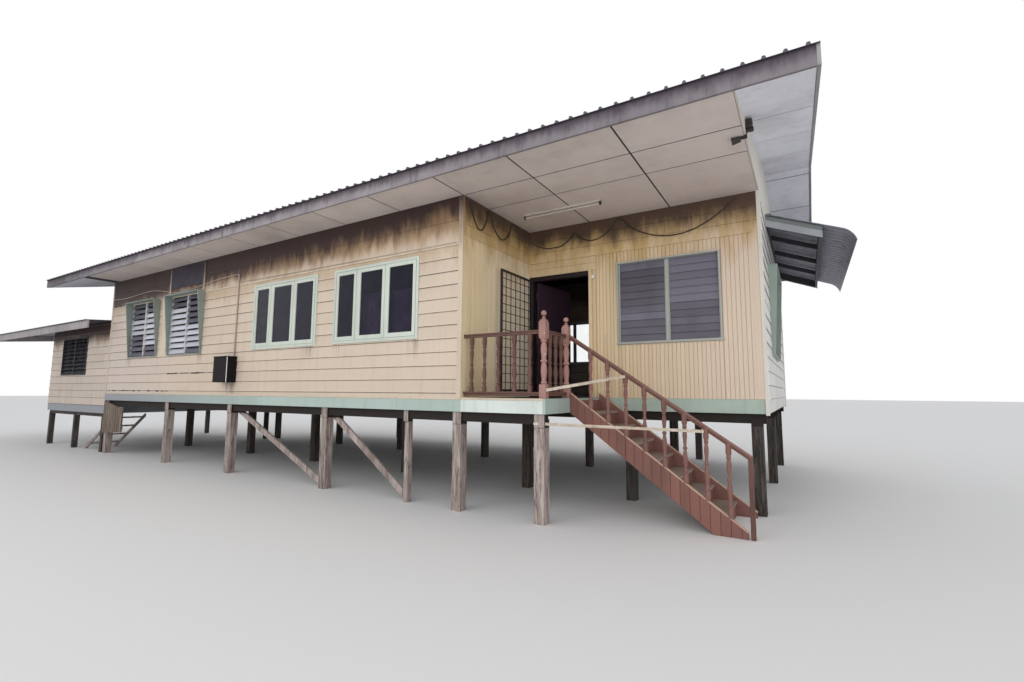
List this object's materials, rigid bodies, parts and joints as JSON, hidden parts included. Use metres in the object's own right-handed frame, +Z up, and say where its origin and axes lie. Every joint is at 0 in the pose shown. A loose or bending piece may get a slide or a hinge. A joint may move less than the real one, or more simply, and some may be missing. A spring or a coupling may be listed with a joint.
{
  "type": "stilt house",
  "caption": "Single-storey timber house raised on posts, with a recessed corner porch, an outside stair, a low gable roof and a small side annexe.",
  "frame": {"origin": "centre of the foot of the corner post, under the corner where the long front wall meets the porch recess", "axes": "+X along the long front wall towards the porch and stair, +Y into the house, +Z up"},
  "size_m": [23.5961, 8.9514, 5.5066],
  "materials": {
    "cream_boards": "painted lap boards",
    "porch_boards": "painted vertical boards",
    "white_boards": "painted boards",
    "mint_paint": "painted band boards",
    "dull_green_paint": "painted louvre window",
    "weathered_timber": "bare weathered",
    "floor_boards": "bare worn",
    "roof_sheet": "ribbed sheet, matt",
    "fascia_paint": "dirty paint",
    "soffit_panel": "painted panel",
    "stair_red_paint": "worn red-brown paint",
    "door_brown": "dark gloss paint",
    "black_iron": "painted bars",
    "window_frame_green": "pale green paint",
    "pale_batten": "bare pale timber",
    "dark_plastic": "matt",
    "white_plastic": "satin"
  },
  "bodies": {
    "house": {"annexe_floor": "mint_paint", "annexe_front_wall": "cream_boards", "annexe_posts": "weathered_timber", "annexe_rear_walls": "cream_boards", "annexe_roof": "roof_sheet", "annexe_roof_frame": "fascia_paint", "annexe_window": "dull_green_paint", "awning_frame": "fascia_paint", "awning_sheet": "roof_sheet", "back_wall": "cream_boards", "back_window_1": "window_frame_green", "back_window_2": "window_frame_green", "back_window_3": "window_frame_green", "band_front": "mint_paint", "band_rear": "mint_paint", "barge_board_left": "fascia_paint", "barge_board_right": "fascia_paint", "casement_window_1": "window_frame_green", "casement_window_2": "window_frame_green", "deck_balustrade": "stair_red_paint", "door_frame": "stair_red_paint", "end_window_box": "window_frame_green", "fascia_back": "fascia_paint", "fascia_front": "fascia_paint", "floodlight": "dark_plastic", "front_wall": "cream_boards", "left_end_wall": "cream_boards", "louvre_window_1": "dull_green_paint", "louvre_window_2": "dull_green_paint", "low_batten": "pale_batten", "main_floor": "floor_boards", "meter_box": "dark_plastic", "pale_batten": "pale_batten", "porch_cable": "dark_plastic", "porch_deck": "floor_boards", "porch_return_wall": "porch_boards", "porch_wall": "porch_boards", "porch_window": "dull_green_paint", "post_row_back": "weathered_timber", "post_row_front": "weathered_timber", "post_row_middle": "weathered_timber", "post_row_porch": "weathered_timber", "ridge_cap": "roof_sheet", "right_end_wall": "white_boards", "roof_back": "roof_sheet", "roof_front": "roof_sheet", "side_steps": "weathered_timber", "slatted_panel": "weathered_timber", "soffit_back": "soffit_panel", "soffit_front": "soffit_panel", "stair_balustrade": "stair_red_paint", "stair_flight": "stair_red_paint", "tube_light": "white_plastic", "verge_soffit_left": "fascia_paint", "verge_soffit_right": "fascia_paint", "wall_over_door": "porch_boards"},
    "front_door": {"front_door": "door_brown"},
    "grille_gate": {"grille_gate": "black_iron"}
  },
  "joints": [
    {"name": "front_door_hinge", "type": "hinge", "parent": "house", "child": "front_door", "pos_m": [0.153, 1.936, 2.49], "axis": [0, 0, 1], "range_deg": [-82, 10]},
    {"name": "grille_gate_hinge", "type": "hinge", "parent": "house", "child": "grille_gate", "pos_m": [0.153, 1.762, 2.5], "axis": [0, 0, 1], "range_deg": [0, 90]}
  ]
}
